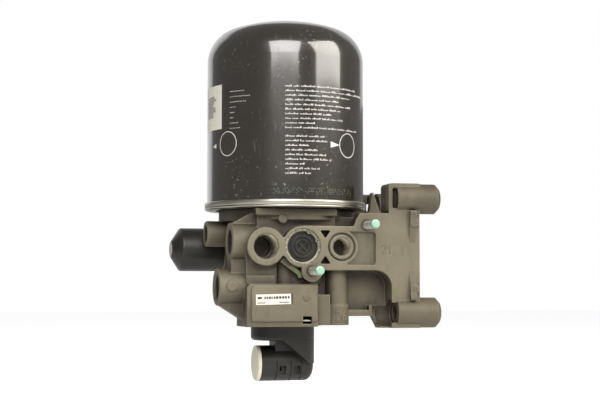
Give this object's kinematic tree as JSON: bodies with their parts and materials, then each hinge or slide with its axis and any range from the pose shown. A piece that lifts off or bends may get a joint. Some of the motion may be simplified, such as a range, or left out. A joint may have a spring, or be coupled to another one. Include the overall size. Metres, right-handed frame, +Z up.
{
  "type": "compressed air dryer",
  "caption": "Vehicle compressed air dryer: cast valve housing with ports and chassis bosses, black spin-on desiccant cartridge, side governor and heated purge valve below.",
  "frame": {"origin": "midway between the two front chassis bolt holes, on the face that meets the chassis", "axes": "+Z up along the cartridge, +X out of the chassis mounting face, -Y out of the machined front face with the ports"},
  "size_m": [0.2146, 0.1657, 0.3099],
  "materials": {
    "cast_alloy": "die cast, matt, warm grey",
    "black_enamel": "gloss enamel",
    "bright_zinc": "bright zinc plating",
    "plated_steel": "plated",
    "zinc_white": "dull zinc plating",
    "spring_steel": "bright spring steel",
    "sheet_alloy": "plain",
    "black_rubber": "matt",
    "desiccant_beads": "packed beads",
    "filter_fibre": "matted fibre",
    "black_plastic": "satin moulded",
    "grey_plastic": "satin moulded",
    "cream_plastic": "satin moulded",
    "turned_brass": "turned"
  },
  "bodies": {
    "dryer": {"housing": "cast_alloy", "canister": "black_enamel", "seam_ring": "bright_zinc", "base_plate": "plated_steel", "cartridge_gasket": "black_rubber", "desiccant_cup": "sheet_alloy", "lower_sieve": "plated_steel", "desiccant_bed": "desiccant_beads", "upper_sieve": "plated_steel", "bed_spring": "spring_steel", "oil_filter_ring": "filter_fibre", "spigot_seal": "black_rubber", "upper_stud": "zinc_white", "lower_stud": "zinc_white", "snap_ring": "spring_steel", "check_valve_cover": "black_plastic", "cover_seal": "black_rubber", "check_valve_spring": "spring_steel", "governor_cap": "black_plastic", "governor_end_plug": "grey_plastic", "adjusting_screw": "plated_steel", "spring_seat": "plated_steel", "governor_spring": "spring_steel", "purge_seat": "grey_plastic", "purge_spring": "spring_steel", "exhaust_body": "black_plastic", "exhaust_seal": "black_rubber", "lock_wire": "spring_steel", "connector_plug": "cream_plastic", "connector_pins": "turned_brass", "heater_element": "plated_steel"},
    "check_valve": {"check_valve_poppet": "grey_plastic"},
    "governor_plunger": {"governor_piston": "turned_brass", "governor_seal": "black_rubber"},
    "purge_valve_set": {"purge_valve": "plated_steel", "purge_piston": "sheet_alloy", "purge_seal": "black_rubber"}
  },
  "joints": [
    {"name": "check_valve_lift", "type": "slide", "parent": "dryer", "child": "check_valve", "axis": [0, -1, 0], "range_m": [0, 0.003], "stiffness_N_per_m": 400, "deforming": ["check_valve_spring"]},
    {"name": "governor_stroke", "type": "slide", "parent": "dryer", "child": "governor_plunger", "axis": [-1, 0, 0], "range_m": [0, 0.002], "stiffness_N_per_m": 1500, "deforming": ["governor_spring"]},
    {"name": "purge_valve_stroke", "type": "slide", "parent": "dryer", "child": "purge_valve_set", "axis": [0, 0, -1], "range_m": [0, 0.003], "stiffness_N_per_m": 1200, "deforming": ["purge_spring"]}
  ]
}
